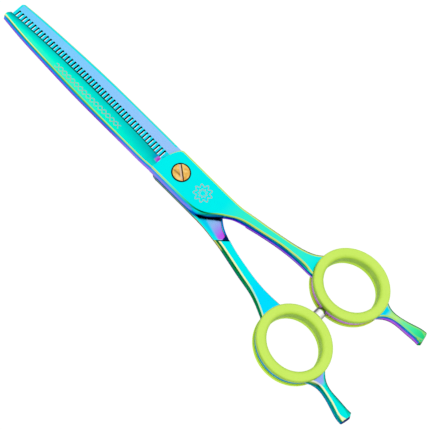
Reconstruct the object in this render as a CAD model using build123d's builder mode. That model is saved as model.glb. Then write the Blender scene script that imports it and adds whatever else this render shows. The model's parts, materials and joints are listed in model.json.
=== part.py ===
from build123d import *
import os

os.makedirs("parts", exist_ok=True)

# Thinning shears, closed. +X runs toward the blade tips, +Z out of the screw head, and the origin
# is on the pivot axis, on the plane that the closed shears rest on. All sizes are in millimetres.
# The cutting half is the upper one and its ring is on -Y; the comb half lies under it, with its
# ring on +Y. Both handles are given as distances across toward their own ring (u) and heights
# away from the ride plane toward their own outer face (w).

# ---- heights ----
RIDE_Z = 4.3            # plane on which the two halves slide over each other
RIDE_GAP = 0.03         # clearance of each half from that plane
UPPER_THICK = 3.4       # cutting half at the pivot, from the ride plane to its outer face
LOWER_THICK = 3.8       # comb half at the pivot, the same way
RING_HALF_HEIGHT = 1.75  # metal finger rings, to each side of the ride plane
GRIP_HALF_HEIGHT = RIDE_Z  # rubber finger inserts, which the shears rest on
CLEAR = 5.0             # depth of cuts that go right through, to each side of the ride plane
UPPER = 1               # side of the cutting half
LOWER = -1              # side of the comb half

# ---- finger rings ----
RING_X = -74.6
RING_U = 16.1
RING_TURN = 8.2         # degrees by which each oval turns toward its own shank
RING_OUTER = (14.7, 13.4)   # half axes along and across the shears
RING_INNER = (12.6, 11.4)
GRIP_OUTER = (15.24, 13.96)
GRIP_INNER = (11.2, 10.0)
GRIP_LIP_ROUND = 1.6
GRIP_EDGE_ROUND = 0.9
GRIP_FIT = 0.02         # gap between the rubber and the ring that it is stretched over

# ---- pivot ----
HEAD_RECESS_R = 3.85
HEAD_RECESS_DEPTH = 1.5
HEAD_R = 3.3
HEAD_PROUD = 0.35       # straight side of the head above the flat
HEAD_DOME = 0.3
SLOT_WIDTH = 1.15
SLOT_DEPTH = 0.75
SLOT_TURN = -38.0
SHOULDER_R = 1.95
THREAD_R = 1.5
THREAD_PITCH = 0.5
THREAD_DEPTH = 0.16
BUSHING_R = 2.6
WASHER_THICK = 0.3
DISC_R = 5.0
DISC_THICK = 0.6
INSERT_R = 2.5
INSERT_FLANGE_R = 3.5
INSERT_FLANGE = 1.0     # half of it stands below the comb half, down to the resting plane
FIT = 0.03              # gap around pieces that are pressed in
RUNNING = 0.05          # gap around pieces that turn

# ---- comb teeth ----
TOOTH_COUNT = 49
TOOTH_PITCH = 1.602
FIRST_SLOT_X = 10.4
SLOT_GAP = 0.77
# how far a slot's wall leans in below the teeth's faces, along the comb
SLOT_LEAN = [(8, 0.33), (50, 0.33), (70, 0.25), (90, 0.1)]
TOOTH_TIP_Y = 2.2
SLOT_END_Y = 3.0
COMB_END_X = 88.8
BLADE_END_X = 90.0

# ---- bumper between the rings ----
BUMPER_X = -73.5
BUMPER_R = 2.2
BUMPER_ROUND = 1.0
BUMPER_NECK_R = 1.1
BUMPER_STUD_R = 0.9
HOLE_END_Y = -4.6       # bottom of its blind hole in the cutting half's ring
STUD_END_Y = -4.5
NECK_SEAT_Y = -2.95     # bottom of the seat around the hole
NECK_END_Y = -2.93
BARREL_LOW_Y = -2.1
DOME_Y = -0.65          # where the dome toward that ring meets the barrel's side
BARREL_HIGH_Y = 2.0
CAP_TIP_Y = 2.6
CAP_R = 0.96
CAP_HOLE_R = 1.0
CAP_HOLE_Y = 0.2        # bottom of the blind hole that holds the cap
BUMPER_CUT = 3.0        # length of the cuts for the bumper, out into the open


def smooth(knots, x):
    """Value at x of a smooth curve through the knots, which run from high x to low x or back."""
    points = sorted(knots)
    last = len(points) - 1
    slopes = []
    for i in range(last + 1):
        before = points[max(i - 1, 0)]
        after = points[min(i + 1, last)]
        slopes.append((after[1] - before[1]) / (after[0] - before[0]))
    if x <= points[0][0]:
        return points[0][1]
    for i in range(last):
        x0, y0 = points[i]
        x1, y1 = points[i + 1]
        if x <= x1:
            step = x1 - x0
            t = (x - x0) / step
            start = (1 + 2 * t) * (1 - t) ** 2 * y0 + t * (1 - t) ** 2 * step * slopes[i]
            finish = t * t * (3 - 2 * t) * y1 - t * t * (1 - t) * step * slopes[i + 1]
            return start + finish
    return points[last][1]


# ---- handle edges: (x, u) along the shears, u toward the half's own ring ----
UNDER_HEIGHT = [(-27, 1.9), (-32, 2.1), (-40, 2.3), (-50, 2.1), (-58, 1.8), (-62, 1.7)]

UPPER_EDGES = {
    "face_height": [(-8, UPPER_THICK), (-26, 3.4), (-32, 3.25), (-40, 2.85), (-50, 2.3), (-58, 1.8),
                    (-62, 1.7)],
    "face_inner": [(-8, -6.6), (-12, -6.4), (-14, -6.0), (-16, -5.2), (-18, -3.9), (-20, -2.0),
                   (-22, -0.3), (-24, 1.1), (-26, 2.5), (-28, 3.6), (-30, 4.35), (-34, 5.4),
                   (-38, 6.4), (-44, 8.0), (-50, 9.0), (-55, 9.55), (-62, 9.4)],
    "face_outer": [(-8, 6.7), (-20, 6.7), (-26, 6.95), (-30, 7.7), (-36, 8.8), (-40, 9.6),
                   (-46, 10.9), (-50, 11.9), (-54, 13.2), (-58, 15.5), (-62, 19.0)],
    "mid_outer": [(-8, 7.4), (-20, 7.5), (-26, 8.1), (-30, 8.9), (-36, 10.0), (-40, 10.8),
                  (-46, 12.05), (-50, 13.05), (-54, 14.35), (-58, 16.6), (-62, 20.0)],
    "mid_inner": [(-8, -7.3), (-12, -7.1), (-14, -6.8), (-16, -6.1), (-18, -4.9), (-20, -3.1),
                  (-22, -1.0), (-24, 0.7), (-26, 2.1), (-28, 2.95), (-30, 3.6), (-34, 4.7),
                  (-38, 5.7), (-42, 6.6), (-46, 7.3), (-50, 7.8), (-55, 8.15), (-62, 8.2)],
}
LOWER_EDGES = {
    "face_height": [(-8, LOWER_THICK), (-26, 3.7), (-32, 3.5), (-40, 3.0), (-50, 2.3), (-58, 1.8),
                    (-62, 1.7)],
    "face_inner": [(-8, -6.6), (-12, -6.4), (-14, -6.0), (-16, -5.2), (-18, -3.9), (-20, -2.0),
                   (-22, -0.3), (-24, 1.4), (-26, 2.9), (-28, 4.1), (-30, 5.0), (-34, 6.4),
                   (-38, 7.4), (-44, 8.6), (-50, 9.5), (-55, 9.8), (-62, 9.4)],
    "face_outer": [(-8, 6.4), (-20, 6.5), (-24, 6.9), (-30, 7.9), (-36, 9.3), (-42, 10.8),
                   (-50, 12.5), (-54, 13.8), (-58, 15.7), (-62, 19.0)],
    "mid_outer": [(-8, 7.55), (-16, 7.6), (-20, 7.8), (-24, 8.3), (-30, 9.2), (-36, 10.55),
                  (-42, 11.9), (-50, 13.6), (-54, 15.0), (-58, 16.85), (-62, 20.2)],
    "mid_inner": [(-8, -7.4), (-12, -7.2), (-14, -6.8), (-16, -6.0), (-18, -4.7), (-20, -2.8),
                  (-22, -0.8), (-24, 1.0), (-26, 2.4), (-28, 3.4), (-30, 4.2), (-34, 5.5),
                  (-38, 6.5), (-42, 7.3), (-46, 8.0), (-50, 8.5), (-55, 8.7), (-62, 8.4)],
}
FLAT_FRONT_X = 5.0      # the pivot flat keeps one section between these two
FLAT_REAR_X = -8.0      # also the first of the stations behind it
PIVOT_STATIONS = [-8, -8.6, -9.6, -11, -12.5, -14, -16, -18, -20, -22, -24, -26, -28, -30]
SHANK_STATIONS = [-34, -38, -42, -46, -50, -54, -58, -62]
UNDER_STATIONS = [-25, -27, -30]
STEP_X = -27.73         # front edge of a shank's underside, where the slanted step stands
STEP_U = 7.28
STEP_SLOPE = 0.55       # how far the step leans back per millimetre of height
UNDER_INSET = 0.9       # how far the far-side face of a shank stands in from its widest line
RIDGE_HALF = 0.3        # half the width of the small facet along the ridges of a handle
RIDGE_DROP = 0.22       # and its height

# ---- tang edges, the same on both halves ----
TANG_OUTER = [(-86, 24.6), (-88, 23.0), (-90, 22.0), (-92, 21.5), (-94, 21.5), (-96, 21.8),
              (-100, 23.0), (-104, 24.3), (-109.4, 25.6)]
TANG_INNER = [(-86, 8.0), (-88, 11.5), (-90, 14.6), (-92, 16.5), (-94, 17.6), (-96, 18.2),
              (-100, 18.5), (-104, 18.8), (-109.4, 19.2)]
TANG_HEIGHT = 1.95
TANG_INSET = 1.3        # most that a tang's top and bottom faces stand in from its widest line
BEYOND_END = [(-107.4, 17), (-108.3, 19.1), (-109.0, 20.2), (-108.1, 24.6), (-107.1, 25.5), (-106.4, 27),
              (-113, 27), (-113, 17)]   # room past a tang's slanted, rounded end
END_LEAN = 10.0         # degrees by which the end face of a tang looks up
TANG_STATIONS = [-86, -88, -90, -92, -94, -97, -101, -105, -109.4]

# ---- blade edges: (x, y) ----
CUTTING_EDGE = [(7.5, 0.5), (12, 0.2), (18, -0.2), (26, -0.45), (48, -0.7), (62, -0.45),
                (74, -0.05), (82, 0.35), (90, 0.95)]
BLADE_RIDGE = [(7.5, 6.65), (9, 6.7), (12, 6.95), (20, 7.0), (40, 6.8), (50, 6.55), (60, 6.15),
               (70, 5.65), (80, 5.0), (90, 3.95)]
BLADE_BACK = [(7.5, 7.2), (9, 7.2), (12, 7.35), (20, 7.4), (46, 7.35), (56, 7.1), (62, 6.85), (70, 6.5),
              (80, 5.95), (90, 4.95)]
BLADE_STATIONS = [7.5, 9, 12, 20, 30, 40, 50, 60, 70, 80, 86, BLADE_END_X]
BLADE_CROWN = 0.22      # swell of the blade's outer face above a straight line
BLADE_RIDGE_HEIGHT = [(7.5, 3.3), (12, 3.28), (20, 3.15), (40, 2.75), (60, 2.35), (80, 1.95), (90, 1.75)]
SPINE = [(-6, 7.5), (4, 7.8), (10, 8.0), (20, 8.0), (40, 7.9), (50, 7.7), (60, 7.3), (70, 6.8),
         (80, 6.15), (90, 5.2)]
SLOT_ROOT = [(8, 3.2), (30, 3.4), (52, 3.4), (60, 3.1), (74, 2.75), (80, 2.45), (90, 2.0)]
COMB_DEPTH = [(-6, 3.8), (10, 3.5), (40, 2.8), (60, 2.4), (80, 2.0), (90, 1.8)]
COMB_STATIONS = [-6, 4, 12, 22, 32, 42, 52, 62, 70, 80, COMB_END_X]
TOOTH_ROOT_DEPTH = 1.7
TOOTH_TIP_DEPTH = 0.8
HOLLOW_DEPTH = 0.4      # relief in the comb half's ride face, behind the pivot


def placed(side, u, w):
    """Turns a handle's own (u, w) into (y, z)."""
    return (-side * u, RIDE_Z + side * w)


def cross_section(x, points):
    """One closed outline of straight (y, z) runs across the shears at x."""
    with BuildSketch(Plane.YZ.offset(x)) as outline:
        with BuildLine():
            Polyline(*points, close=True)
        make_face()
    return outline.sketch


def barrel_section(x, side, mid, face, height):
    """Half of a handle's section, from the ride plane to a face: both flanks swell to the plane.

    mid and face are (inner, outer) distances u; height is that of the face, negative below."""
    way = 1 if height > 0 else -1
    inner_foot = placed(side, mid[0], RIDE_GAP)
    outer_foot = placed(side, mid[1], RIDE_GAP)
    inner_ridge = placed(side, face[0] - RIDGE_HALF, height - way * RIDGE_DROP)
    outer_ridge = placed(side, face[1] + RIDGE_HALF, height - way * RIDGE_DROP)
    with BuildSketch(Plane.YZ.offset(x)) as outline:
        with BuildLine():
            TangentArc(inner_foot, inner_ridge, tangent=(0, side * way))
            Polyline(inner_ridge, placed(side, face[0] + RIDGE_HALF, height),
                     placed(side, face[1] - RIDGE_HALF, height), outer_ridge)
            TangentArc(outer_foot, outer_ridge, tangent=(0, side * way))
            Line(outer_foot, inner_foot)
        make_face()
    return outline.sketch


def handle_body(side, edges):
    """Pivot flat and shank: the slab on the half's own side of the ride plane."""
    flat_mid = (edges["mid_inner"][0][1], edges["mid_outer"][0][1])
    flat_face = (edges["face_inner"][0][1], edges["face_outer"][0][1])
    flat_height = edges["face_height"][0][1]
    loft([barrel_section(x, side, flat_mid, flat_face, flat_height) for x in (FLAT_FRONT_X, FLAT_REAR_X)])
    sections = []
    for x in PIVOT_STATIONS + SHANK_STATIONS:
        mid = (smooth(edges["mid_inner"], x), smooth(edges["mid_outer"], x))
        face = (smooth(edges["face_inner"], x), smooth(edges["face_outer"], x))
        sections.append(barrel_section(x, side, mid, face, smooth(edges["face_height"], x)))
    loft(sections)


def shank_underside(side, edges):
    """The part of a shank that stands past the ride plane, behind the other half's sweep."""
    sections = []
    for x in UNDER_STATIONS + SHANK_STATIONS:
        mid = (smooth(edges["mid_inner"], x), smooth(edges["mid_outer"], x))
        face = (mid[0] + UNDER_INSET, mid[1] - UNDER_INSET)
        sections.append(barrel_section(x, side, mid, face, -smooth(UNDER_HEIGHT, x)))
    loft(sections)


def tang(side):
    """Finger rest behind the ring, flaring toward its slanted end."""
    for way in (1, -1):
        sections = []
        for x in TANG_STATIONS:
            mid = (smooth(TANG_INNER, x), smooth(TANG_OUTER, x))
            inset = min((mid[1] - mid[0]) * 0.3, TANG_INSET)
            face = (mid[0] + inset, mid[1] - inset)
            sections.append(barrel_section(x, side, mid, face, way * TANG_HEIGHT))
        loft(sections)
    with BuildSketch(Plane.XY) as beyond_end:
        with BuildLine():
            Polyline(*[(x, -side * u) for x, u in BEYOND_END], close=True)
        make_face()
    extrude(beyond_end.sketch, amount=2 * RIDE_Z, taper=-END_LEAN, mode=Mode.SUBTRACT)


def slanted_step(side):
    """Slopes the front of a shank's underside back, across the shank at a slant."""
    step = Plane(origin=(STEP_X, -side * STEP_U, RIDE_Z), x_dir=(0.72, side * 0.69, 0),
                 z_dir=(-0.69, side * 0.72, 0))
    with BuildSketch(step) as wedge:
        with BuildLine():
            Polyline((0, -RIDE_GAP), (9, -RIDE_GAP), (9, CLEAR), (-STEP_SLOPE * CLEAR, CLEAR), close=True)
        make_face()
    extrude(wedge.sketch, amount=8, both=True, mode=Mode.SUBTRACT)


def ring_outline(side, half_axes, grow=0.0, mode=Mode.ADD):
    """Oval of a finger ring, in the plane of the current sketch."""
    with Locations((RING_X, -side * RING_U)):
        Ellipse(half_axes[0] + grow, half_axes[1] + grow, rotation=side * RING_TURN, mode=mode)


def ring_disc(side, half_axes, low, high, mode=Mode.ADD, grow=0.0):
    """Solid oval between two heights measured from the ride plane."""
    with BuildSketch(Plane.XY.offset(RIDE_Z + low)) as oval:
        ring_outline(side, half_axes, grow)
    extrude(oval.sketch, amount=high - low, mode=mode)


def pivot_bore(radius, low, high):
    """Round hole on the pivot axis, cut between two heights."""
    with BuildSketch(Plane.XY.offset(low)) as hole:
        Circle(radius)
    extrude(hole.sketch, amount=high - low, mode=Mode.SUBTRACT)


# ---- cutting half: smooth blade, pivot flat, shank, ring and tang in one forging ----
UPPER_RIDE = RIDE_Z + RIDE_GAP
UPPER_FLAT = RIDE_Z + UPPER_THICK
# how far across the flat's top reaches toward -Y along its rounded front end
NOSE_REACH = [(FLAT_FRONT_X, 6.7), (5.8, 6.35), (6.5, 5.5), (7.2, 4.0), (8.0, 1.9), (8.5, -0.1), (8.9, -1.4)]


def blade_section(x):
    """Smooth blade at x: a small bevel at the edge, a swelled outer face, a ridge and a round back."""
    edge = smooth(CUTTING_EDGE, x)
    ridge = smooth(BLADE_RIDGE, x)
    crest = RIDE_Z + smooth(BLADE_RIDGE_HEIGHT, x)
    bevel_top = (edge + 0.12, UPPER_RIDE + 0.35)
    ridge_top = (ridge - 0.35, crest)
    ridge_foot = (ridge, crest - 0.15)
    back = (smooth(BLADE_BACK, x), UPPER_RIDE)
    middle = ((bevel_top[0] + ridge_top[0]) / 2, (bevel_top[1] + ridge_top[1]) / 2 + BLADE_CROWN)
    with BuildSketch(Plane.YZ.offset(x)) as outline:
        with BuildLine():
            Polyline(back, (edge, UPPER_RIDE), bevel_top)
            ThreePointArc(bevel_top, middle, ridge_top)
            Line(ridge_top, ridge_foot)
            TangentArc(back, ridge_foot, tangent=(0, 1))
        make_face()
    return outline.sketch


with BuildPart() as cutting_half:
    handle_body(UPPER, UPPER_EDGES)
    shank_underside(UPPER, UPPER_EDGES)
    # rounded front end of the pivot flat
    nose = []
    for x, reach in NOSE_REACH:
        nose.append(barrel_section(x, UPPER, (-7.3, reach + 0.7), (-6.6, reach), UPPER_THICK))
    loft(nose, ruled=True)
    loft([blade_section(x) for x in BLADE_STATIONS])
    # grinding run-out between the flat and the hollow of the blade
    with BuildSketch(Plane.XZ.offset(-6.0)):
        with BuildLine():
            Polyline((8.4, UPPER_RIDE + 0.2), (8.4, UPPER_FLAT), (8.9, UPPER_FLAT), (10.4, UPPER_RIDE + 0.6),
                     (10.4, UPPER_RIDE + 0.2), close=True)
        make_face()
    extrude(amount=4.2)
    ring_disc(UPPER, RING_OUTER, -RING_HALF_HEIGHT, RING_HALF_HEIGHT)
    tang(UPPER)
    slanted_step(UPPER)
    # room for the rubber inserts and the fingers
    ring_disc(UPPER, RING_INNER, -CLEAR, CLEAR, Mode.SUBTRACT)
    ring_disc(UPPER, GRIP_OUTER, RING_HALF_HEIGHT, CLEAR, Mode.SUBTRACT, GRIP_FIT)
    ring_disc(UPPER, GRIP_OUTER, -CLEAR, -RING_HALF_HEIGHT, Mode.SUBTRACT, GRIP_FIT)
    # screw head recess, bushing bore and half of the friction disc's pocket
    pivot_bore(HEAD_RECESS_R, UPPER_FLAT - HEAD_RECESS_DEPTH, UPPER_FLAT + 1)
    pivot_bore(BUSHING_R + FIT, RIDE_Z, UPPER_FLAT)
    pivot_bore(DISC_R + RUNNING, RIDE_Z, RIDE_Z + DISC_THICK / 2 + 0.02)
    # blind hole and seat for the bumper
    with BuildSketch(Plane.XZ.offset(-HOLE_END_Y)):
        with Locations((BUMPER_X, RIDE_Z)):
            Circle(BUMPER_STUD_R + FIT)
    extrude(amount=-BUMPER_CUT, mode=Mode.SUBTRACT)
    with BuildSketch(Plane.XZ.offset(-NECK_SEAT_Y)):
        with Locations((BUMPER_X, RIDE_Z)):
            Circle(BUMPER_NECK_R + RUNNING)
    extrude(amount=-BUMPER_CUT, mode=Mode.SUBTRACT)
    # rounded blade end
    with BuildSketch(Plane.XY.offset(RIDE_Z)):
        with BuildLine():
            Polyline((88.9, 0.0), (90.0, 2.6), (92, 2.6), (92, 0.0), close=True)
        make_face()
        with BuildLine():
            Polyline((89.0, 6.2), (89.3, 4.9), (90.0, 4.0), (92, 4.0), (92, 6.2), close=True)
        make_face()
    extrude(amount=5, mode=Mode.SUBTRACT)

cutting_half.part.label = "cutting_half"
export_step(cutting_half.part, "parts/cutting_half.step")

# ---- comb half: toothed blade, pivot flat, shank, ring and tang in one forging ----
LOWER_RIDE = RIDE_Z - RIDE_GAP
LOWER_FLAT = RIDE_Z - LOWER_THICK


def slot_cutter(number):
    """Room between two teeth; its wall on the tip side leans in just below the teeth's faces."""
    middle = FIRST_SLOT_X + number * TOOTH_PITCH
    near = middle - SLOT_GAP / 2
    far = middle + SLOT_GAP / 2
    lean = smooth(SLOT_LEAN, middle)
    root = smooth(SLOT_ROOT, middle)
    with BuildSketch(Plane.XZ.offset(root)) as opening:
        with BuildLine():
            Polyline((near, 0), (near, RIDE_Z + 1), (far, RIDE_Z + 1), (far, LOWER_RIDE),
                     (far - lean, LOWER_RIDE - TOOTH_TIP_DEPTH), (far - lean, 0), close=True)
        make_face()
    return extrude(opening.sketch, amount=-(root + SLOT_END_Y), mode=Mode.PRIVATE)


with BuildPart() as comb_half:
    handle_body(LOWER, LOWER_EDGES)
    shank_underside(LOWER, LOWER_EDGES)
    # front end of the pivot slab, its sides leaning in toward the underside
    with BuildSketch(Plane.XY.offset(LOWER_RIDE)):
        with BuildLine():
            Polyline((0, 7.5), (5.6, 7.5), (7.2, 7.2), (8.4, 6.2), (9.2, 4.2), (9.2, -7.8),
                     (4, -7.7), (0, -7.4), close=True)
        make_face()
    extrude(amount=LOWER_FLAT - LOWER_RIDE, taper=12)
    comb_sections = []
    for x in COMB_STATIONS:
        spine = -smooth(SPINE, x)
        root = -smooth(SLOT_ROOT, x)
        depth = RIDE_Z - smooth(COMB_DEPTH, x)
        comb_sections.append(cross_section(x, [
            (TOOTH_TIP_Y, LOWER_RIDE),
            (spine + 0.6, LOWER_RIDE),
            (spine, LOWER_RIDE - 0.5),
            (spine + 0.3, depth + 0.5),
            (spine + 0.9, depth),
            (spine + 2.0, depth),
            (root, LOWER_RIDE - TOOTH_ROOT_DEPTH),
            (TOOTH_TIP_Y - 0.35, LOWER_RIDE - TOOTH_TIP_DEPTH),
            (TOOTH_TIP_Y, LOWER_RIDE - TOOTH_TIP_DEPTH + 0.3),
        ]))
    loft(comb_sections)
    # slots between the teeth
    add([slot_cutter(number) for number in range(TOOTH_COUNT)], mode=Mode.SUBTRACT)
    ring_disc(LOWER, RING_OUTER, -RING_HALF_HEIGHT, RING_HALF_HEIGHT)
    tang(LOWER)
    slanted_step(LOWER)
    # shallow ride hollow
    with BuildSketch(Plane.XY.offset(RIDE_Z - HOLLOW_DEPTH)):
        with BuildLine():
            Polyline((-12, -4), (-12, 6.7), (-18, 6.8), (-24, 7.3), (-27.4, 7.4), (-28.6, 6.1),
                     (-28.4, 4.4), (-26, 3.3), (-22, 0.4), (-19, -3.2), close=True)
        make_face()
    extrude(amount=1, mode=Mode.SUBTRACT)
    ring_disc(LOWER, RING_INNER, -CLEAR, CLEAR, Mode.SUBTRACT)
    ring_disc(LOWER, GRIP_OUTER, RING_HALF_HEIGHT, CLEAR, Mode.SUBTRACT, GRIP_FIT)
    ring_disc(LOWER, GRIP_OUTER, -CLEAR, -RING_HALF_HEIGHT, Mode.SUBTRACT, GRIP_FIT)
    pivot_bore(INSERT_R + FIT, -1, RIDE_Z)
    pivot_bore(INSERT_FLANGE_R + FIT, -1, INSERT_FLANGE + 0.01)
    pivot_bore(DISC_R + FIT, RIDE_Z - DISC_THICK / 2, RIDE_Z)
    # corner of the comb's end
    with BuildSketch(Plane.XY.offset(-1)):
        with BuildLine():
            Polyline((87.8, -5.6), (88.8, -4.3), (90, -4.3), (90, -6.5), (87.8, -6.5), close=True)
        make_face()
    extrude(amount=6, mode=Mode.SUBTRACT)

comb_half.part.label = "comb_half"
export_step(comb_half.part, "parts/comb_half.step")


# ---- rubber finger inserts, each snapped into its ring like a grommet ----
def finger_insert(side):
    """Oval rubber grommet: two rounded flanges joined by a web that lines the ring."""
    with BuildSketch(Plane.XY.offset(RIDE_Z - GRIP_HALF_HEIGHT)) as washer:
        ring_outline(side, GRIP_OUTER)
        ring_outline(side, GRIP_INNER, mode=Mode.SUBTRACT)
    grommet = extrude(washer.sketch, amount=2 * GRIP_HALF_HEIGHT)
    rims = grommet.faces().filter_by(Axis.Z).edges()
    opening_rims = rims.sort_by(SortBy.LENGTH)[0:2]
    outer_rims = rims.sort_by(SortBy.LENGTH)[2:4]
    fillet(opening_rims, GRIP_LIP_ROUND)
    fillet(outer_rims, GRIP_EDGE_ROUND)
    with BuildSketch(Plane.XY.offset(RIDE_Z - RING_HALF_HEIGHT)) as groove:
        ring_outline(side, GRIP_OUTER, 2.0)
        ring_outline(side, RING_INNER, -GRIP_FIT, Mode.SUBTRACT)
    extrude(groove.sketch, amount=2 * RING_HALF_HEIGHT, mode=Mode.SUBTRACT)


with BuildPart() as upper_finger_insert:
    finger_insert(UPPER)

upper_finger_insert.part.label = "upper_finger_insert"
export_step(upper_finger_insert.part, "parts/upper_finger_insert.step")

with BuildPart() as lower_finger_insert:
    finger_insert(LOWER)

lower_finger_insert.part.label = "lower_finger_insert"
export_step(lower_finger_insert.part, "parts/lower_finger_insert.step")

# ---- pivot: screw, spring washer, bushing, friction disc and threaded insert ----
HEAD_SEAT = UPPER_FLAT - HEAD_RECESS_DEPTH + WASHER_THICK
HEAD_TOP = UPPER_FLAT + HEAD_PROUD
SHOULDER_END = 3.2
SCREW_END = 0.9

with BuildPart() as pivot_screw:
    with BuildSketch(Plane.XZ):
        with BuildLine():
            Polyline((0, SCREW_END), (THREAD_R - 0.2, SCREW_END), (THREAD_R, SCREW_END + 0.2),
                     (THREAD_R, SHOULDER_END), (SHOULDER_R, SHOULDER_END),
                     (SHOULDER_R, HEAD_SEAT), (HEAD_R, HEAD_SEAT), (HEAD_R, HEAD_TOP - 0.15))
            ThreePointArc((HEAD_R, HEAD_TOP - 0.15), (HEAD_R * 0.72, HEAD_TOP + HEAD_DOME * 0.55),
                          (0, HEAD_TOP + HEAD_DOME))
            Line((0, HEAD_TOP + HEAD_DOME), (0, SCREW_END))
        make_face()
    revolve(axis=Axis.Z)
    # thread, as round grooves
    with BuildSketch(Plane.XZ):
        for turn in range(4):
            groove = SCREW_END + 0.4 + turn * THREAD_PITCH
            with BuildLine():
                Polyline((THREAD_R + 0.01, groove), (THREAD_R - THREAD_DEPTH, groove + 0.15),
                         (THREAD_R + 0.01, groove + 0.3), close=True)
            make_face()
    revolve(axis=Axis.Z, mode=Mode.SUBTRACT)
    # driver slot
    with BuildSketch(Plane.XY.offset(HEAD_TOP + HEAD_DOME - SLOT_DEPTH)):
        Rectangle(2 * HEAD_R + 1, SLOT_WIDTH, rotation=SLOT_TURN)
    extrude(amount=2, mode=Mode.SUBTRACT)

pivot_screw.part.label = "pivot_screw"
export_step(pivot_screw.part, "parts/pivot_screw.step")

with BuildPart() as spring_washer:
    with BuildSketch(Plane.XY.offset(UPPER_FLAT - HEAD_RECESS_DEPTH)):
        Circle(HEAD_RECESS_R - 0.1)
        Circle(SHOULDER_R + RUNNING, mode=Mode.SUBTRACT)
    extrude(amount=WASHER_THICK)

spring_washer.part.label = "spring_washer"
export_step(spring_washer.part, "parts/spring_washer.step")

with BuildPart() as pivot_bushing:
    with BuildSketch(Plane.XY.offset(RIDE_Z + DISC_THICK / 2 + 0.02)):
        Circle(BUSHING_R)
        Circle(SHOULDER_R + RUNNING, mode=Mode.SUBTRACT)
    extrude(amount=UPPER_FLAT - HEAD_RECESS_DEPTH - RIDE_Z - DISC_THICK / 2 - 0.02)

pivot_bushing.part.label = "pivot_bushing"
export_step(pivot_bushing.part, "parts/pivot_bushing.step")

with BuildPart() as friction_disc:
    with BuildSketch(Plane.XY.offset(RIDE_Z - DISC_THICK / 2)):
        Circle(DISC_R)
        Circle(SHOULDER_R + RUNNING, mode=Mode.SUBTRACT)
    extrude(amount=DISC_THICK)

friction_disc.part.label = "friction_disc"
export_step(friction_disc.part, "parts/friction_disc.step")

with BuildPart() as threaded_insert:
    with BuildSketch(Plane.XY):
        Circle(INSERT_FLANGE_R)
    extrude(amount=INSERT_FLANGE)
    with BuildSketch(Plane.XY.offset(INSERT_FLANGE)):
        Circle(INSERT_R)
    extrude(amount=SHOULDER_END - 0.1 - INSERT_FLANGE)
    chamfer(threaded_insert.edges().filter_by(GeomType.CIRCLE).sort_by(Axis.Z)[0], 0.15)
    pivot_bore(THREAD_R + RUNNING, SCREW_END - 0.1, SHOULDER_END)

threaded_insert.part.label = "threaded_insert"
export_step(threaded_insert.part, "parts/threaded_insert.step")

# ---- bumper that stops the rings from clashing ----
with BuildPart() as bumper_stud:
    with BuildSketch(Plane.XY.offset(RIDE_Z)):
        with BuildLine():
            Polyline((BUMPER_X, STUD_END_Y), (BUMPER_X + BUMPER_STUD_R, STUD_END_Y),
                     (BUMPER_X + BUMPER_STUD_R, NECK_END_Y),
                     (BUMPER_X + BUMPER_NECK_R, NECK_END_Y),
                     (BUMPER_X + BUMPER_NECK_R, BARREL_LOW_Y))
            TangentArc((BUMPER_X + BUMPER_R, DOME_Y), (BUMPER_X + BUMPER_NECK_R, BARREL_LOW_Y),
                       tangent=(0, -1))
            Line((BUMPER_X + BUMPER_R, DOME_Y), (BUMPER_X + BUMPER_R, BARREL_HIGH_Y - BUMPER_ROUND))
            TangentArc((BUMPER_X + BUMPER_R, BARREL_HIGH_Y - BUMPER_ROUND),
                       (BUMPER_X + BUMPER_R - BUMPER_ROUND, BARREL_HIGH_Y), tangent=(0, 1))
            Polyline((BUMPER_X + BUMPER_R - BUMPER_ROUND, BARREL_HIGH_Y),
                     (BUMPER_X + CAP_HOLE_R, BARREL_HIGH_Y), (BUMPER_X + CAP_HOLE_R, CAP_HOLE_Y),
                     (BUMPER_X, CAP_HOLE_Y), (BUMPER_X, STUD_END_Y))
        make_face()
    revolve(axis=Axis((BUMPER_X, 0, RIDE_Z), (0, 1, 0)))

bumper_stud.part.label = "bumper_stud"
export_step(bumper_stud.part, "parts/bumper_stud.step")

with BuildPart() as bumper_cap:
    with BuildSketch(Plane.XY.offset(RIDE_Z)):
        with BuildLine():
            Polyline((BUMPER_X, CAP_HOLE_Y + 0.05), (BUMPER_X + CAP_R, CAP_HOLE_Y + 0.05),
                     (BUMPER_X + CAP_R, BARREL_HIGH_Y + 0.02),
                     (BUMPER_X + BUMPER_NECK_R, BARREL_HIGH_Y + 0.02),
                     (BUMPER_X + BUMPER_NECK_R, CAP_TIP_Y - 0.3),
                     (BUMPER_X + BUMPER_NECK_R - 0.3, CAP_TIP_Y), (BUMPER_X, CAP_TIP_Y), close=True)
        make_face()
    revolve(axis=Axis((BUMPER_X, 0, RIDE_Z), (0, 1, 0)))

bumper_cap.part.label = "bumper_cap"
export_step(bumper_cap.part, "parts/bumper_cap.step")
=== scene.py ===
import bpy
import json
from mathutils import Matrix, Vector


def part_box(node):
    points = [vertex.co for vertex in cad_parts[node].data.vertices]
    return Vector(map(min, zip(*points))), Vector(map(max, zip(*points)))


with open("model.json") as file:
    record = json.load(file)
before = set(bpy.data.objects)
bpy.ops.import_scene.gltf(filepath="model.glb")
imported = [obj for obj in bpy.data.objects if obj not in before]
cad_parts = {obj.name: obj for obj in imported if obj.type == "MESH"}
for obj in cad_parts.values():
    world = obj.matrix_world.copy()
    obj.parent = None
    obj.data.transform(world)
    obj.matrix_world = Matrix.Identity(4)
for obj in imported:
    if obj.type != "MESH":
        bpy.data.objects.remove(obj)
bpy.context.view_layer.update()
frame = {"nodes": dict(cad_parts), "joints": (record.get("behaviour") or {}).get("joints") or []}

import json
import math
import bpy
from mathutils import Matrix, Vector

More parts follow.
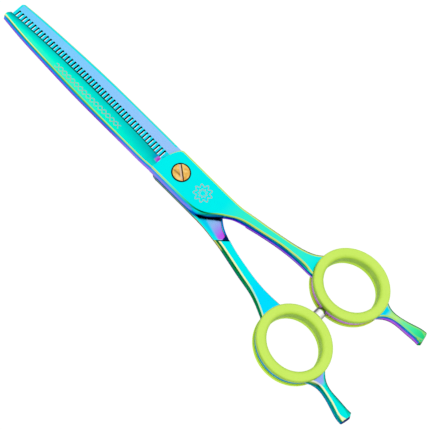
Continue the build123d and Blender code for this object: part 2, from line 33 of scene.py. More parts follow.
# Thinning shears lying closed on a pale floor. Metres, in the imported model's frame: +X toward the
# blade tips, +Z out of the screw head, origin on the pivot axis at the resting plane. Inside the
# materials, lengths are in millimetres in the same frame, taken from each piece's own vertices, so
# the colours stay on the metal when the halves swing.

MM = 1000.0
nodes = frame["nodes"]
ride_z = MM * next(joint["pos_m"][2] for joint in frame["joints"] if joint["name"] == "blade_pivot")
flat_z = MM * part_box("cutting_half")[1].z

# Places along the shears for the colours, in millimetres ahead of the pivot (negative behind it)
HEEL_X = 9.0
COMB_HEEL_X = 8.0
SHANK_X = -20.0
RING_X = -60.5
RING_REAR_X = -90.0
TANG_X = -88.5
TANG_END_X = -105.5

RECESS_RADIUS = 4.0
SLOT_TURN = math.radians(-38.0)
BARE_STEEL = (200, 160, 160)


def srgb(red, green, blue):
    """Linear colour of a tone given as 0 to 255 per channel."""
    channels = []
    for value in (red, green, blue):
        share = value / 255
        channels.append(share / 12.92 if share <= 0.04045 else ((share + 0.055) / 1.055) ** 2.4)
    return (*channels, 1.0)


# ---------------------------------------------------------------- material kit
class Paint:
    """One node material being built. Its methods take numbers or sockets and return sockets."""

    def __init__(self, name, metallic=0.0, roughness=0.5):
        self.material = bpy.data.materials.new(name)
        self.material.use_nodes = True
        self.tree = self.material.node_tree
        self.shader = self.tree.nodes["Principled BSDF"]
        self.shader.inputs["Metallic"].default_value = metallic
        self.shader.inputs["Roughness"].default_value = roughness
        spots = self.tree.nodes.new("ShaderNodeTexCoord")
        scaled = self.tree.nodes.new("ShaderNodeVectorMath")
        scaled.operation = "SCALE"
        scaled.inputs["Scale"].default_value = MM
        self.tree.links.new(spots.outputs["Object"], scaled.inputs[0])
        self.place = scaled.outputs[0]
        self.x, self.y, self.z = self.split(self.place)
        self.nx, self.ny, self.nz = self.split(spots.outputs["Normal"])

    def split(self, vector):
        """The three components of a vector."""
        parts = self.tree.nodes.new("ShaderNodeSeparateXYZ")
        self.tree.links.new(vector, parts.inputs[0])
        return parts.outputs

    def feed(self, socket, value):
        """Links a socket or sets a constant."""
        if hasattr(value, "links"):
            self.tree.links.new(value, socket)
        else:
            socket.default_value = value

    def calc(self, operation, *values):
        """One step of arithmetic, by the name of Blender's operation."""
        step = self.tree.nodes.new("ShaderNodeMath")
        step.operation = operation
        for socket, value in zip(step.inputs, values):
            self.feed(socket, value)
        return step.outputs[0]

    def plus(self, a, b):
        return self.calc("ADD", a, b)

    def minus(self, a, b):
        return self.calc("SUBTRACT", a, b)

    def times(self, a, b):
        return self.calc("MULTIPLY", a, b)

    def over(self, a, b):
        return self.calc("DIVIDE", a, b)

    def absolute(self, a):
        return self.calc("ABSOLUTE", a)

    def length(self, a, b):
        """Length of the flat vector with these two components."""
        return self.calc("SQRT", self.plus(self.times(a, a), self.times(b, b)))

    def rise(self, value, start, end):
        """0 below start, 1 above end, smooth between; falls instead when end is below start."""
        step = self.tree.nodes.new("ShaderNodeMapRange")
        step.interpolation_type = "SMOOTHSTEP"
        self.feed(step.inputs["Value"], value)
        step.inputs["From Min"].default_value = min(start, end)
        step.inputs["From Max"].default_value = max(start, end)
        step.inputs["To Min"].default_value = 0.0 if end > start else 1.0
        step.inputs["To Max"].default_value = 1.0 if end > start else 0.0
        return step.outputs["Result"]

    def within(self, value, low, high, soft=0.05):
        """1 between low and high, with soft edges."""
        above = self.rise(value, low - soft, low + soft)
        below = self.rise(value, high + soft, high - soft)
        return self.times(above, below)

    def where(self, *masks):
        """1 only where every mask is 1."""
        product = masks[0]
        for mask in masks[1:]:
            product = self.times(product, mask)
        return product

    def ramp(self, value, tones):
        """Colour that follows a value through tones given in order, as (value, (red, green, blue))."""
        low = tones[0][0]
        high = tones[-1][0]
        span = self.tree.nodes.new("ShaderNodeMapRange")
        self.feed(span.inputs["Value"], value)
        span.inputs["From Min"].default_value = low
        span.inputs["From Max"].default_value = high
        bar = self.tree.nodes.new("ShaderNodeValToRGB")
        self.tree.links.new(span.outputs["Result"], bar.inputs["Fac"])
        stops = bar.color_ramp.elements
        for index, (at, tone) in enumerate(tones):
            share = (at - low) / (high - low)
            stop = stops[index] if index < 2 else stops.new(share)
            stop.position = share
            stop.color = srgb(*tone)
        return bar.outputs["Color"]

    def mix(self, amount, under, over):
        """under where amount is 0, over where it is 1."""
        blend = self.tree.nodes.new("ShaderNodeMix")
        blend.data_type = "RGBA"
        self.feed(blend.inputs[0], amount)
        self.feed(blend.inputs[6], under)
        self.feed(blend.inputs[7], over)
        return blend.outputs[2]

    def noise(self, size, stretch=(1, 1, 1), detail=3.0):
        """Noise about 0.5 with features of the given size in millimetres, drawn out by stretch."""
        scale = self.tree.nodes.new("ShaderNodeVectorMath")
        scale.operation = "MULTIPLY"
        self.tree.links.new(self.place, scale.inputs[0])
        scale.inputs[1].default_value = [1 / (size * s) for s in stretch]
        grain = self.tree.nodes.new("ShaderNodeTexNoise")
        grain.inputs["Scale"].default_value = 1.0
        grain.inputs["Detail"].default_value = detail
        self.tree.links.new(scale.outputs[0], grain.inputs["Vector"])
        return grain.outputs["Fac"]

    def finish(self, color, roughness, bump_height, bump_strength):
        """Connects colour, roughness and a bump 0.02 mm deep, and returns the material."""
        self.feed(self.shader.inputs["Base Color"], color)
        self.feed(self.shader.inputs["Roughness"], roughness)
        relief = self.tree.nodes.new("ShaderNodeBump")
        relief.inputs["Strength"].default_value = bump_strength
        relief.inputs["Distance"].default_value = 0.00002
        self.tree.links.new(bump_height, relief.inputs["Height"])
        self.tree.links.new(relief.outputs[0], self.shader.inputs["Normal"])
        return self.material


def put(material, *names):
    """Replaces the materials of CAD nodes."""
    for name in names:
        data = nodes[name].data
        data.materials.clear()
        data.materials.append(material)


# ---------------------------------------------------------------- camera, light and floor
def make_camera():
    """Long lens above the pivot, leaning toward the comb half's ring and turned in the frame."""
    lean_y = math.radians(21.0)
    lean_x = math.radians(5.0)
    roll = math.radians(135.2456)
    distance = 0.7
    target = Vector((-0.02031, 0.00253, 0.0077))
    toward_y = math.sin(lean_y) * math.cos(lean_x)
    toward_z = math.cos(lean_y) * math.cos(lean_x)
    back = Vector((-math.sin(lean_x), toward_y, toward_z))
    along = Vector((1, 0, 0)) - back * back.x
    along.normalize()
    across = back.cross(along)
    right = along * math.cos(roll) - across * math.sin(roll)
    up = along * math.sin(roll) + across * math.cos(roll)
    data = bpy.data.cameras.new("shears_camera")
    data.lens = 157.65
    data.sensor_width = 36.0
    data.clip_start = 0.05
    data.clip_end = 10.0
    camera = bpy.data.objects.new("shears_camera", data)
    turn = Matrix((right, up, back)).transposed().to_4x4()
    camera.matrix_world = Matrix.Translation(target + back * distance) @ turn
    bpy.context.collection.objects.link(camera)
    bpy.context.scene.camera = camera


def make_light():
    """Square soft light far to one side, aimed at the middle of the shears."""
    place = Vector((0.12, 0.85, 0.33))
    middle = Vector((-0.01, 0, 0))
    data = bpy.data.lights.new("ridge_light", "AREA")
    data.size = 0.35
    data.energy = 0.6
    light = bpy.data.objects.new("ridge_light", data)
    light.location = place
    light.rotation_euler = (middle - place).to_track_quat("-Z", "Y").to_euler()
    bpy.context.collection.objects.link(light)


def make_surroundings():
    """White studio light from all around, with plain display colours."""
    world = bpy.data.worlds.new("studio")
    world.use_nodes = True
    background = world.node_tree.nodes["Background"]
    background.inputs["Color"].default_value = (1, 1, 1, 1)
    background.inputs["Strength"].default_value = 1.0
    bpy.context.scene.world = world
    bpy.context.scene.view_settings.view_transform = "Standard"


def make_floor():
    """Wide pale floor, a hair below the shears."""
    reach = 3.0
    corners = [(-reach, -reach, 0), (reach, -reach, 0), (reach, reach, 0), (-reach, reach, 0)]
    data = bpy.data.meshes.new("floor")
    data.from_pydata(corners, [], [(0, 1, 2, 3)])
    floor = bpy.data.objects.new("floor", data)
    floor.location.z = -0.0002
    bpy.context.collection.objects.link(floor)
    paint = Paint("floor_paint", roughness=0.9)
    paint.shader.inputs["Emission Color"].default_value = (1, 1, 1, 1)
    paint.shader.inputs["Emission Strength"].default_value = 0.97
    pale = paint.mix(paint.noise(40), (0.05, 0.05, 0.05, 1), (0.06, 0.06, 0.06, 1))
    data.materials.append(paint.finish(pale, 0.9, paint.noise(0.5), 0.05))


# ---------------------------------------------------------------- measures on the steel
def wall_height(paint):
    """Height above the plane on which the halves slide."""
    return paint.minus(paint.z, ride_z)


def beyond_line(paint, slope, start=0.0):
    """How far toward +Y a point lies from the line y = slope * x + start."""
    return paint.minus(paint.y, paint.plus(paint.times(paint.x, slope), start))


def lean_of(paint):
    """Which way a surface leans: 0 up, 1 toward +Y, -1 toward -Y, 2 down; wavers a little like a film."""
    turn = paint.times(paint.calc("ARCTAN2", paint.ny, paint.nz), 2 / math.pi)
    waver = paint.times(paint.minus(paint.noise(6.0, (2.5, 1, 1)), 0.5), 0.05)
    return paint.plus(turn, waver)


# ---------------------------------------------------------------- etched ornament
def twist_band(paint, start, end, middle, swing, wave, line):
    """Two strands crossing each other in a row along X, as an etched line pattern."""
    turn = paint.times(paint.x, 2 * math.pi / wave)
    swung = paint.times(paint.calc("SINE", turn), swing)
    off = paint.minus(paint.y, middle)
    first = paint.absolute(paint.minus(off, swung))
    second = paint.absolute(paint.plus(off, swung))
    nearest = paint.calc("MINIMUM", first, second)
    return paint.where(paint.rise(nearest, line * 1.4, line * 0.8), paint.within(paint.x, start, end))


def rosette(paint, size, petals, depth, line):
    """Outline of a round flower behind the screw, with the given number of petals."""
    centre_x = -11.3
    centre_y = -0.2
    across = paint.minus(paint.x, centre_x)
    up = paint.minus(paint.y, centre_y)
    wave = paint.calc("COSINE", paint.times(paint.calc("ARCTAN2", up, across), petals))
    outline = paint.plus(paint.times(wave, depth), size)
    gap = paint.absolute(paint.minus(paint.length(across, up), outline))
    return paint.rise(gap, line * 1.4, line * 0.8)


def ornament(paint):
    """Etched lines on the upper faces: a twist on the blade and a double flower behind the screw."""
    twist = twist_band(paint, start=28.5, end=62.5, middle=4.0, swing=0.95, wave=4.2, line=0.14)
    outer = rosette(paint, size=3.1, petals=9, depth=0.55, line=0.16)
    inner = rosette(paint, size=1.4, petals=9, depth=0.35, line=0.14)
    lines = paint.calc("MAXIMUM", twist, paint.calc("MAXIMUM", outer, inner))
    return paint.where(lines, paint.rise(paint.nz, 0.6, 0.75))


# ---------------------------------------------------------------- half with the smooth blade
def shank_flank(paint, lean, color):
    """The shank's flank goes from green through navy to purple down its height."""
    x = paint.x
    flank = paint.where(
        paint.rise(x, SHANK_X, SHANK_X - 4),
        paint.rise(x, RING_REAR_X, RING_REAR_X + 4),
        paint.rise(lean, 0.5, 0.6),
    )
    # the flank is 3.4 mm high as far back as x = -26 and gets lower from there to the ring
    behind = paint.calc("MINIMUM", paint.plus(x, 26), 0)
    crest = paint.plus(3.4, paint.times(behind, 0.047))
    share = paint.over(wall_height(paint), crest)
    tones = paint.ramp(share, (
        (-0.8, (40, 10, 60)), (-0.3, (130, 65, 190)), (0.0, (195, 105, 245)), (0.2, (160, 95, 240)),
        (0.38, (30, 60, 185)), (0.58, (0, 60, 160)), (0.74, (0, 130, 175)), (0.86, (0, 130, 90)),
        (1, (10, 90, 50))))
    return paint.mix(flank, color, tones)


def pivot_edge(paint, lean, color):
    """Facet along the +Y edge of the face with a painted highlight, and the flank that turns in behind the
    pivot with a painted shadow at its foot.
    """
    x, y = paint.x, paint.y
    # plating tint with a painted highlight: yellow by the blade, dark green where the facet turns in, then
    # olive
    facet = paint.where(paint.within(lean, 0.13, 0.3, 0.02), paint.within(x, -62, 11, 1))
    facet_tint_and_highlight = paint.ramp(x, (
        (-62, (205, 225, 110)), (-30, (195, 220, 95)), (-21, (140, 210, 75)), (-18.5, (20, 150, 70)),
        (-16, (0, 85, 50)), (-13, (10, 150, 90)), (-9, (40, 210, 145)), (0, (130, 240, 165)),
        (6, (200, 228, 110)), (11, (205, 222, 105))))
    color = paint.mix(facet, color, facet_tint_and_highlight)
    # teal above and a black painted shadow at its foot, blue further ahead
    turn_in = paint.where(paint.within(x, -23, -12.5, 1.0), paint.rise(lean, 0.5, 0.6), paint.rise(y, -2, 0))
    behind = paint.ramp(wall_height(paint), (
        (0, (0, 4, 12)), (0.8, (0, 8, 24)), (1.2, (0, 60, 130)), (1.9, (0, 170, 190)), (3.4, (0, 190, 120))))
    ahead = paint.ramp(wall_height(paint), (
        (0, (120, 140, 250)), (0.9, (0, 110, 225)), (1.6, (0, 190, 240)), (3.4, (0, 235, 205))))
    return paint.mix(turn_in, color, paint.mix(paint.rise(x, -16.5, -14.5), behind, ahead))


def cutting_tang(paint, lean, color):
    """Mint above, then green, blue and purple down the side, with painted highlights and painted shade among
    them.
    """
    x = paint.x
    # plating tints by lean; the pale yellow stops are painted highlights and the near-black stops painted
    # shade
    side = paint.ramp(lean, (
        (-1.4, (0, 60, 110)), (-0.5, (0, 150, 110)), (-0.3, (150, 215, 90)), (-0.12, (190, 228, 110)),
        (-0.08, (70, 238, 170)), (0.08, (70, 238, 170)), (0.13, (190, 228, 110)), (0.3, (150, 210, 80)),
        (0.36, (15, 120, 60)), (0.43, (0, 150, 190)), (0.52, (0, 80, 180)), (0.62, (110, 80, 220)),
        (0.8, (190, 90, 220)), (0.97, (150, 65, 190)), (1.1, (40, 10, 50)), (1.4, (0, 20, 40))))
    color = paint.mix(paint.rise(x, TANG_X, TANG_X - 3.5), color, side)
    top = paint.where(
        paint.rise(paint.nz, 0.9, 0.97),
        paint.rise(x, -86, -87),
        paint.rise(paint.z, ride_z, ride_z + 1),
    )
    top_tone = paint.ramp(x, (
        (-108, (30, 205, 110)), (-103, (60, 236, 155)), (-98, (110, 240, 165)), (-95, (185, 242, 140)),
        (-92.5, (175, 240, 135)), (-91, (0, 215, 245)), (-87, (0, 215, 245))))
    return paint.mix(top, color, top_tone)


def smooth_blade(paint, lean):
    """Teal at the edge, mint by the ridge with a painted highlight on the ridge facet, then bands that keep
    their share of the back's height.
    """
    x, y = paint.x, paint.y
    # blade tones by lean; the near-white and cream stops by the ridge are a painted highlight
    blade = paint.ramp(lean, (
        (-1.4, (0, 60, 60)), (-0.6, (0, 90, 70)), (-0.4, (0, 160, 158)), (-0.3, (0, 194, 190)),
        (-0.23, (0, 222, 208)), (-0.17, (0, 250, 208)), (-0.02, (110, 250, 190)),
        (0.08, (200, 255, 205)), (0.4, (238, 250, 165))))
    # ridge facet in plating tint and painted highlight, its tone changing along the blade
    ridge_tint_and_highlight = paint.ramp(x, (
        (8, (212, 218, 110)), (30, (205, 225, 115)), (48, (165, 215, 90)), (62, (175, 220, 95)),
        (76, (240, 242, 150)), (90, (246, 246, 165))))
    blade = paint.mix(paint.within(lean, 0.12, 0.4, 0.03), blade, ridge_tint_and_highlight)
    # the back of the blade gets lower toward the tip, and is paler near the pivot
    crest = paint.minus(3.5, paint.times(x, 0.0195))
    share = paint.over(wall_height(paint), crest)
    back = paint.ramp(share, (
        (0, (110, 40, 150)), (0.12, (155, 80, 210)), (0.38, (140, 90, 225)), (0.52, (0, 110, 235)),
        (0.7, (0, 160, 235)), (0.8, (0, 140, 120)), (0.88, (30, 130, 60)), (0.96, (150, 200, 85))))
    near_back = paint.ramp(share, (
        (0, (170, 100, 230)), (0.12, (190, 140, 255)), (0.45, (165, 135, 255)), (0.6, (80, 130, 240)),
        (0.72, (0, 140, 230)), (0.85, (0, 200, 225)), (0.93, (60, 200, 150)), (0.98, (190, 220, 110))))
    back = paint.mix(paint.rise(x, 34, 18), back, near_back)
    blade = paint.mix(paint.rise(lean, 0.34, 0.4), blade, back)
    edge_line = paint.where(paint.rise(wall_height(paint), 0.75, 0.5), paint.rise(y, 2.0, 1.5))
    blade = paint.mix(edge_line, blade, srgb(0, 90, 60))
    # blue and magenta sheen next to the heel
    by_heel = paint.where(paint.rise(x, 13.5, 10.4), paint.rise(y, 3.8, 2.2))
    blade = paint.mix(paint.times(by_heel, 0.65), blade, srgb(0, 130, 225))
    at_heel = paint.where(paint.rise(x, 11.1, 10.3), paint.rise(y, 3.6, 2.8))
    return paint.mix(paint.times(at_heel, 0.85), blade, srgb(210, 70, 215))


def cutting_colors(paint, lean):
    """Colour, relief, added roughness and metal share of the half with the smooth blade."""
    x, y = paint.x, paint.y
    # plating tints by lean; the pale yellow stops are painted highlights on edge facets and the darkest
    # stops painted shade on surfaces turned downward
    color = paint.ramp(lean, (
        (-1.4, (0, 60, 110)), (-0.95, (0, 140, 150)), (-0.6, (0, 160, 130)), (-0.34, (130, 200, 100)),
        (-0.27, (205, 228, 95)), (-0.15, (190, 225, 100)), (-0.1, (0, 240, 238)), (0.1, (0, 240, 238)),
        (0.15, (228, 240, 130)), (0.27, (200, 228, 105)), (0.36, (0, 140, 100)), (0.78, (0, 160, 150)),
        (0.86, (0, 165, 235)), (0.91, (110, 150, 250)), (0.96, (185, 150, 255)), (1.0, (190, 150, 255)),
        (1.12, (130, 70, 205)), (1.24, (50, 20, 80)), (1.5, (0, 40, 60))))
    color = shank_flank(paint, lean, color)
    color = pivot_edge(paint, lean, color)
    # mint along the middle of the shank
    minted = paint.where(paint.rise(paint.nz, 0.95, 0.985), paint.within(x, -56, -24, 5))
    color = paint.mix(paint.times(minted, 0.7), color, srgb(60, 242, 190))
    color = cutting_tang(paint, lean, color)
    color = paint.mix(paint.rise(x, HEEL_X - 0.15, HEEL_X + 0.15), color, smooth_blade(paint, lean))
    # heel of the blade, where the flat runs out: black at the edge, magenta, then lost in the cyan
    heel = paint.where(paint.within(x, HEEL_X - 0.7, HEEL_X + 1.8, 0.2), paint.rise(paint.nx, 0.25, 0.5))
    heel_tone = paint.ramp(y, (
        (1.4, (10, 0, 16)), (1.9, (60, 10, 70)), (2.2, (205, 60, 215)), (3.2, (190, 70, 220)),
        (3.9, (0, 150, 225)), (4.6, (0, 225, 225)), (5.4, (40, 240, 205))))
    color = paint.mix(heel, color, heel_tone)
    # painted shade inside the screw's recess
    recess_shade = paint.where(
        paint.rise(paint.length(x, y), RECESS_RADIUS, RECESS_RADIUS - 0.12),
        paint.rise(paint.z, flat_z - 0.02, flat_z - 0.12),
    )
    color = paint.mix(recess_shade, color, srgb(30, 110, 60))
    etched = ornament(paint)
    color = paint.mix(etched, color, srgb(*BARE_STEEL))
    return color, paint.times(etched, -1.0), paint.times(etched, 0.35), paint.minus(1.0, heel)


# ---------------------------------------------------------------- half with the teeth
def comb_handle(paint, lean, up_face, color):
    """Flank below the pivot, then the shank, ring and tang of the half with the teeth."""
    x = paint.x
    # below the ride plane at the pivot the flank is a pale green strip above blue
    under = paint.ramp(lean, (
        (0.9, (170, 210, 130)), (1.16, (205, 228, 160)), (1.3, (205, 215, 120)), (1.5, (0, 60, 60))))
    under = paint.mix(paint.rise(x, -12, -17), under, srgb(228, 225, 105))
    deep = paint.ramp(wall_height(paint), (
        (-3.8, (120, 60, 190)), (-3.0, (130, 110, 245)), (-2.4, (0, 140, 235)), (-1.9, (0, 170, 140)),
        (-1.4, (120, 190, 90))))
    under = paint.mix(paint.rise(wall_height(paint), -1.3, -1.7), under, deep)
    color = paint.mix(paint.where(paint.within(x, -31, 9, 1), paint.rise(lean, 0.8, 0.9)), color, under)
    # painted highlight in cream along the shank's edge facet before the ring
    cream_highlight = paint.where(paint.within(lean, 0.13, 0.4, 0.02), paint.within(x, -63, -46, 2))
    color = paint.mix(cream_highlight, color, srgb(248, 250, 140))
    # tang: a dark line of painted reflection along the top's outer side, a cream painted highlight on the
    # ridge, then green, teal and blue, darkening to painted shade on faces turned downward
    side = paint.ramp(lean, (
        (-1.4, (0, 60, 110)), (-0.5, (0, 150, 130)), (-0.3, (0, 190, 160)), (-0.1, (0, 240, 234)),
        (0.07, (0, 238, 225)), (0.11, (0, 60, 30)), (0.16, (235, 248, 165)), (0.26, (252, 252, 200)),
        (0.34, (215, 235, 120)), (0.42, (0, 95, 50)), (0.6, (0, 110, 85)), (0.78, (0, 150, 170)),
        (0.95, (0, 110, 190)), (1.1, (10, 20, 90)), (1.4, (0, 10, 30))))
    color = paint.mix(paint.rise(x, TANG_X, TANG_X - 3.5), color, side)
    lilac = paint.where(paint.within(x, -92.5, -88, 1), up_face)
    color = paint.mix(paint.times(lilac, 0.8), color, srgb(165, 150, 250))
    near_ring = paint.where(up_face, paint.within(x, -64, -48, 4))
    return paint.mix(near_ring, color, srgb(0, 222, 255))


def toothed_blade(paint, face, color):
    """Satin blue ride face, brighter teeth, and a cyan border along the spine and the end."""
    x, y = paint.x, paint.y
    face_tone = paint.ramp(x, ((8, (165, 202, 252)), (50, (142, 208, 255)), (90, (118, 214, 255))))
    color = paint.mix(face, color, face_tone)
    # the teeth start at the slots' closed ends, which draw in toward the tip
    draw_in = paint.times(paint.calc("MAXIMUM", paint.minus(x, 50), 0), 0.034)
    root = paint.plus(-3.3, draw_in)
    teeth = paint.where(face, paint.rise(paint.minus(y, root), -0.1, 0.2))
    color = paint.mix(teeth, color, srgb(0, 232, 250))
    # the border follows the spine, which curves in toward the tip, and is pale at its very edge
    bend = paint.calc("MAXIMUM", paint.minus(x, 20), 0)
    inset = paint.plus(paint.plus(y, 8.0), paint.times(paint.times(bend, bend), -0.00052))
    outline = paint.calc("MAXIMUM", paint.rise(inset, 1.15, 0.8), paint.rise(x, 87.9, 88.2))
    on_blade = paint.rise(x, COMB_HEEL_X, COMB_HEEL_X + 1)
    border = paint.where(on_blade, outline, paint.rise(paint.nz, 0.5, 0.6))
    color = paint.mix(border, color, srgb(0, 236, 238))
    pale_edge = paint.where(border, paint.rise(wall_height(paint), -0.25, -0.4))
    return paint.mix(pale_edge, color, srgb(175, 225, 130))


def ride_hollow(paint, up_face, color):
    """Ride hollow behind the pivot: lilac turning to magenta, with painted shade beside the other shank."""
    x, z = paint.x, paint.z
    hollow = paint.where(
        up_face,
        paint.within(x, -31, -11.9, 0.2),
        paint.rise(z, ride_z - 0.25, ride_z - 0.35),
    )
    hollow_tone = paint.ramp(x, (
        (-28.6, (205, 72, 242)), (-27, (192, 85, 242)), (-25.2, (160, 138, 242)), (-22.5, (150, 180, 242)),
        (-19, (110, 200, 246)), (-16, (20, 212, 248))))
    outer_side = paint.rise(beyond_line(paint, -0.27), -0.9, 0.3)
    hollow_tone = paint.mix(outer_side, hollow_tone, srgb(10, 205, 245))
    color = paint.mix(hollow, color, hollow_tone)
    # painted shade in navy where the hollow runs beside the other half's shank
    by_shank = paint.rise(beyond_line(paint, 0.82, 19.2), 1.3, 0.65)
    shaded = paint.where(hollow, paint.rise(x, -14.5, -16), by_shank)
    color = paint.mix(shaded, color, srgb(0, 40, 90))
    # blue rim along the inner side of the hollow
    inner_rim = paint.where(
        up_face,
        paint.within(x, -29.5, -18, 0.5),
        paint.rise(z, ride_z - 0.2, ride_z - 0.1),
        paint.rise(beyond_line(paint, -0.625), -13.0, -13.4),
    )
    return paint.mix(inner_rim, color, srgb(0, 90, 190))


def shank_step(paint, up_face, color):
    """Step from the ride plane up to the shank, and the small flat before it, in navy painted shade."""
    x, y, z = paint.x, paint.y, paint.z
    # painted shade in navy on the small flat before the step
    corner_shade = paint.where(
        up_face,
        paint.within(x, -33, -28.2, 0.1),
        paint.within(z, ride_z - 0.1, ride_z + 0.3),
        paint.rise(y, 6.4, 6.0),
    )
    color = paint.mix(corner_shade, color, srgb(0, 30, 90))
    # painted shade on the step's face, lighter toward its top, with cyan and yellow near the shank's edge
    step = paint.where(
        paint.within(x, -36, -24, 0.5),
        paint.rise(paint.nx, 0.25, 0.4),
        paint.rise(z, ride_z - 0.1, ride_z + 0.1),
    )
    tone = paint.ramp(z, ((ride_z, (0, 14, 40)), (ride_z + 2.2, (0, 60, 130))))
    tone = paint.mix(paint.rise(y, 6.4, 6.9), tone, srgb(0, 215, 215))
    tone = paint.mix(paint.rise(y, 7.1, 7.5), tone, srgb(215, 220, 110))
    return paint.mix(step, color, tone)


def comb_colors(paint, lean):
    """Colour, relief, added roughness and metal share of the half with the teeth."""
    x = paint.x
    up_face = paint.rise(paint.nz, 0.9, 0.97)
    face = paint.where(up_face, paint.rise(x, 5, 6))
    # plating tints by lean; the cream stops are painted highlights on edge facets and the darkest stops
    # painted shade on surfaces turned downward
    color = paint.ramp(lean, (
        (-1.5, (0, 60, 110)), (-1.0, (190, 215, 120)), (-0.8, (150, 230, 170)), (-0.6, (0, 235, 230)),
        (-0.1, (0, 236, 246)), (0.1, (0, 240, 234)), (0.15, (235, 245, 170)), (0.2, (252, 252, 195)),
        (0.3, (215, 235, 130)), (0.62, (15, 115, 40)), (0.78, (0, 112, 50)), (0.9, (0, 155, 100)),
        (1.0, (0, 165, 145)), (1.12, (0, 110, 190)), (1.3, (60, 50, 150)), (1.5, (0, 40, 60))))
    color = comb_handle(paint, lean, up_face, color)
    color = toothed_blade(paint, face, color)
    # painted shade on the sides of the teeth
    facing_along = paint.rise(paint.absolute(paint.nx), 0.5, 0.7)
    shaded_walls = paint.where(paint.rise(x, COMB_HEEL_X, COMB_HEEL_X + 1), facing_along)
    wall_tone = paint.ramp(paint.nx, ((-1, (2, 12, 14)), (0.2, (2, 12, 14)), (1, (0, 90, 110))))
    color = paint.mix(shaded_walls, color, wall_tone)
    color = ride_hollow(paint, up_face, color)
    color = shank_step(paint, up_face, color)
    # fine satin mottling of the ride face
    mottled = paint.noise(0.35)
    speckled = paint.where(face, paint.rise(mottled, 0.4, 0.7))
    color = paint.mix(paint.times(speckled, 0.25), color, srgb(95, 190, 255))
    return color, paint.times(mottled, face), paint.times(face, 0.3), paint.minus(1.0, shaded_walls)


# ---------------------------------------------------------------- both halves
def plated_steel(name, half_colors, ring_top, end_core):
    """Titanium-plated steel whose colour goes through the rainbow with the lean of its surfaces; the same
    colours carry painted highlights on edge facets and painted shade and reflections.
    """
    paint = Paint(name, metallic=1.0)
    x = paint.x
    wall_up = wall_height(paint)
    color, relief, rough_part, metal = half_colors(paint, lean_of(paint))
    # the metal ring between the two flanges of its rubber, with a painted shadow under the front one
    upright = paint.rise(paint.absolute(paint.nz), 0.3, 0.15)
    ring_wall = paint.where(paint.within(x, RING_REAR_X, RING_X, 0.6), upright)
    ring_tone_and_shadow = paint.ramp(wall_up, (
        (-1.8, ring_top), (0.3, ring_top), (0.9, (40, 20, 80)), (1.8, (0, 0, 10))))
    color = paint.mix(ring_wall, color, ring_tone_and_shadow)
    metal = paint.times(metal, paint.minus(1.0, paint.times(ring_wall, 0.8)))
    # end face of the tang, with a pale rim
    end = paint.where(paint.rise(x, TANG_END_X, TANG_END_X - 1), paint.rise(paint.nx, -0.6, -0.85))
    rim = paint.rise(wall_up, 1.0, 1.5)
    color = paint.mix(end, color, paint.mix(rim, srgb(*end_core), srgb(200, 225, 80)))
    # slight blotches in the plating
    blotch = paint.noise(2.2, (2, 1, 1), 4.0)
    color = paint.mix(paint.times(paint.rise(blotch, 0.45, 0.75), 0.1), color, srgb(0, 215, 245))
    paint.feed(paint.shader.inputs["Metallic"], metal)
    paint.feed(paint.shader.inputs["Specular IOR Level"], paint.times(metal, 0.5))
    paint.shader.inputs["Specular Tint"].default_value = (0.12, 0.12, 0.2, 1.0)
    # brush marks along the shears
    brushed = paint.noise(0.12, (30, 1, 1), 2.0)
    sheen = paint.plus(paint.times(brushed, 0.12), 0.14)
    height = paint.plus(paint.times(brushed, 0.4), relief)
    return paint.finish(color, paint.plus(sheen, rough_part), height, 0.35)


# ---------------------------------------------------------------- rubber, gilt, bright metal and nylon
def lime_rubber(name):
    """Matte silicone rubber, with painted shade inside the opening and a deeper, more saturated tone on the
    rear flange.
    """
    paint = Paint(name, roughness=0.6)
    # painted shade: darker on the walls of the opening, darkest where they stand upright
    color = paint.ramp(paint.nz, (
        (-1, (150, 200, 20)), (-0.2, (128, 168, 28)), (0.3, (150, 190, 45)), (0.65, (184, 220, 72)),
        (1, (199, 235, 92))))
    rear = paint.rise(paint.z, ride_z, ride_z - 1.5)
    color = paint.mix(paint.times(rear, 0.85), color, srgb(190, 228, 0))
    cloud = paint.noise(5.0, detail=2.0)
    color = paint.mix(paint.times(paint.rise(cloud, 0.4, 0.7), 0.15), color, srgb(215, 240, 120))
    roughness = paint.plus(paint.times(cloud, 0.2), 0.5)
    paint.shader.inputs["Specular IOR Level"].default_value = 0.3
    return paint.finish(color, roughness, paint.noise(0.18, detail=4.0), 0.3)


def driver_slot(paint, color):
    """Pale slot in the screw's head, with a painted dark reflection beside it and one side in a dark brown
    line of painted shadow.
    """
    x, y = paint.x, paint.y
    flat = paint.rise(paint.nz, 0.8, 0.9)
    aside = paint.minus(paint.times(y, math.cos(SLOT_TURN)), paint.times(x, math.sin(SLOT_TURN)))
    in_slot = paint.where(paint.within(aside, -0.6, 0.6, 0.02), flat, paint.rise(paint.z, 6, 6.5))
    # painted reflection in dark brown across the head beside the slot
    dark_reflection = paint.where(paint.within(y, 1.0, 1.6, 0.35), paint.within(x, -1.2, 2.6, 0.5), flat)
    color = paint.mix(paint.times(dark_reflection, 0.75), color, srgb(120, 78, 28))
    slot_floor = paint.mix(paint.rise(x, -1.8, -2.3), srgb(225, 195, 165), srgb(240, 165, 95))
    color = paint.mix(in_slot, color, slot_floor)
    # painted shadow as a dark brown line along one side of the slot
    line = paint.where(in_slot, paint.within(aside, -0.7, -0.28, 0.03))
    return paint.mix(line, color, srgb(96, 62, 36))


def turned_metal(name, tones, wall_tone, roughness, slotted=False):
    """Lathe-turned metal: cloudy tones on its faces, another on its walls, and fine rings."""
    paint = Paint(name, metallic=1.0)
    color = paint.ramp(paint.noise(1.6, detail=2.0), tones)
    color = paint.mix(paint.rise(paint.nz, 0.6, 0.3), color, srgb(*wall_tone))
    if slotted:
        color = driver_slot(paint, color)
    ring_gap = 0.22
    rings = paint.calc("SINE", paint.times(paint.length(paint.x, paint.y), 2 * math.pi / ring_gap))
    wear = paint.noise(0.3)
    height = paint.plus(paint.times(rings, 0.25), wear)
    return paint.finish(color, paint.plus(paint.times(wear, 0.15), roughness), height, 0.25)


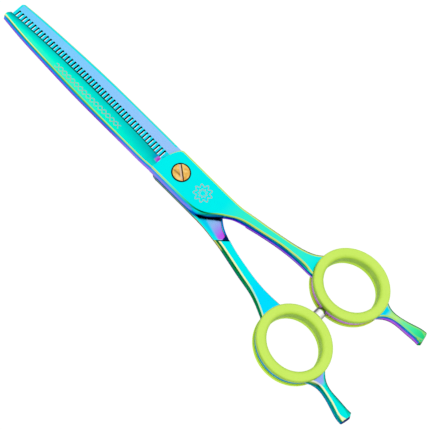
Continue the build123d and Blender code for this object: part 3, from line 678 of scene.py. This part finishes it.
def chrome(name):
    """Bright bumper metal, with painted reflections in grey and white bands around the barrel."""
    paint = Paint(name, metallic=1.0)
    turn = paint.calc("ARCTAN2", paint.nx, paint.nz)
    # painted reflections: bands by which way the surface turns around the barrel
    color = paint.ramp(turn, (
        (-1.6, (60, 62, 64)), (-0.95, (150, 152, 150)), (-0.6, (225, 225, 220)), (-0.25, (255, 255, 255)),
        (0.3, (250, 250, 248)), (0.55, (200, 200, 196)), (0.8, (120, 120, 118)), (1.6, (80, 80, 84))))
    # painted reflections: grey toward the ends, darker at the very ends
    ends = paint.absolute(paint.ny)
    color = paint.mix(paint.rise(ends, 0.4, 0.8), color, srgb(190, 190, 184))
    color = paint.mix(paint.rise(ends, 0.85, 0.98), color, srgb(90, 92, 92))
    wear = paint.noise(0.25, (1, 3, 1))
    return paint.finish(color, paint.plus(paint.times(wear, 0.1), 0.08), wear, 0.15)


def nylon(name, tone):
    """Dense plastic with a faint moulded grain."""
    paint = Paint(name)
    cloud = paint.noise(0.8)
    lighter = [min(255, int(channel * 1.15) + 8) for channel in tone]
    color = paint.mix(cloud, srgb(*tone), srgb(*lighter))
    return paint.finish(color, paint.plus(paint.times(cloud, 0.2), 0.35), paint.noise(0.15), 0.2)


# ---------------------------------------------------------------- the scene
cutting_steel = plated_steel(
    "cutting_steel", cutting_colors, ring_top=(220, 130, 255), end_core=(40, 185, 100))
comb_steel = plated_steel(
    "comb_steel", comb_colors, ring_top=(0, 150, 215), end_core=(0, 130, 190))
put(cutting_steel, "cutting_half")
put(comb_steel, "comb_half")
put(lime_rubber("grip_rubber"), "upper_finger_insert", "lower_finger_insert")

gilt_tones = ((0.3, (222, 160, 70)), (0.5, (240, 190, 95)), (0.7, (250, 215, 140)))
# the washer's steel is painted dark as shade, since it sits down in the screw's recess
washer_shade_tones = ((0.3, (20, 40, 34)), (0.7, (50, 66, 56)))
screw_gold = turned_metal("screw_gold", gilt_tones, wall_tone=(95, 55, 20), roughness=0.14, slotted=True)
washer_steel = turned_metal("washer_steel", washer_shade_tones, wall_tone=(70, 70, 72), roughness=0.25)
put(screw_gold, "pivot_screw", "threaded_insert")
put(washer_steel, "spring_washer")

put(nylon("pivot_nylon", (215, 215, 208)), "pivot_bushing", "friction_disc")
put(chrome("bumper_chrome"), "bumper_stud")
put(nylon("bumper_nylon", (60, 60, 64)), "bumper_cap")

make_camera()
make_light()
make_surroundings()
make_floor()
